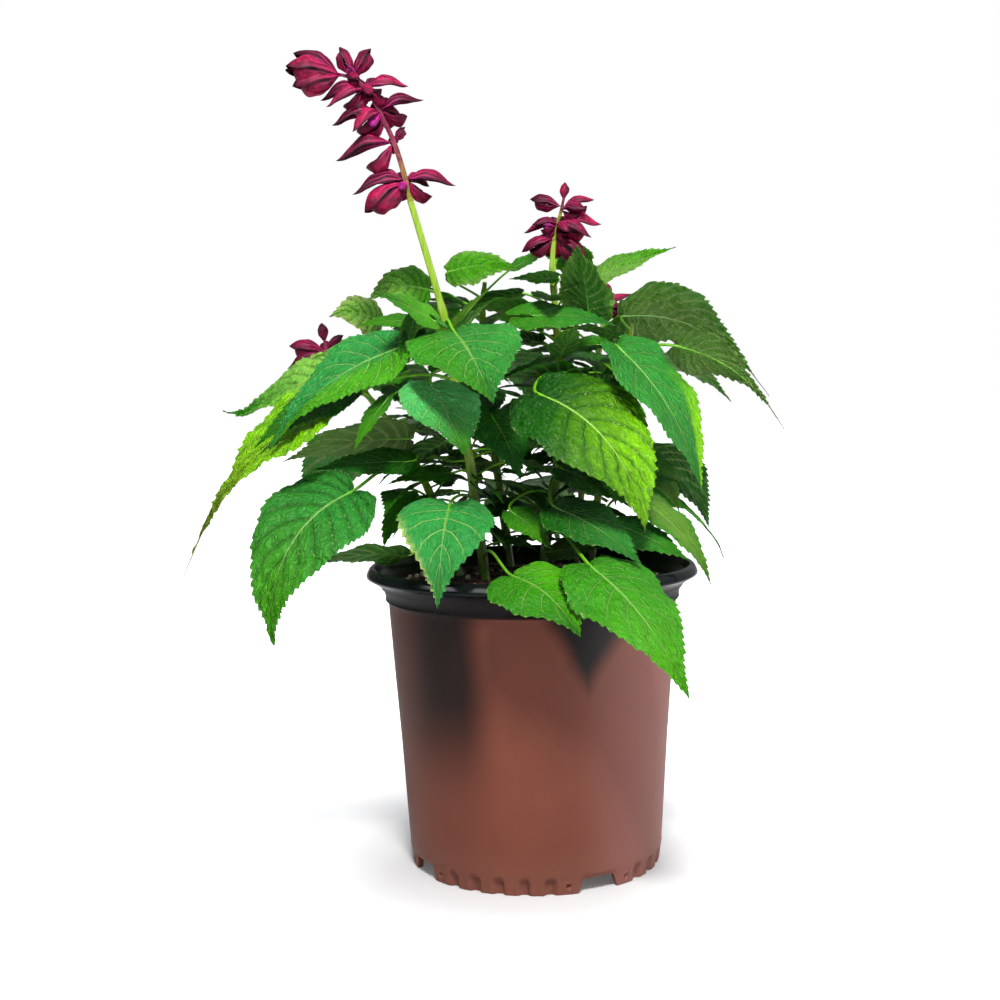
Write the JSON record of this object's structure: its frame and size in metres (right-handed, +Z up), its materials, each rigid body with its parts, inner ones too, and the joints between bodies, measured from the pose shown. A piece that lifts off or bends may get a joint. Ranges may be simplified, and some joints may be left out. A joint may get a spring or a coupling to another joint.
{
  "type": "potted salvia",
  "caption": "Potted salvia with toothed green leaves and wine-red flower spikes in a round brown nursery pot.",
  "frame": {"origin": "centre of the pot's foot, on the surface that the pot stands on", "axes": "+Z up along the pot's axis, -Y towards the side that the picture shows, +X to the right of that view"},
  "size_m": [0.3071, 0.2793, 0.4369],
  "materials": {
    "pot_plastic": "satin",
    "bark_soil": "rough bark and peat",
    "leaf_green": "satin leaf",
    "wine_red": "velvety petal"
  },
  "bodies": {
    "root": {"pot": "pot_plastic", "soil": "bark_soil", "stem_front": "leaf_green", "stem_middle": "leaf_green", "stem_left": "leaf_green", "stem_right": "leaf_green", "stem_back_right": "leaf_green", "stem_back": "leaf_green", "flowers_tall": "wine_red", "flowers_middle": "wine_red", "flowers_left": "wine_red", "flowers_right": "wine_red"}
  },
  "joints": []
}
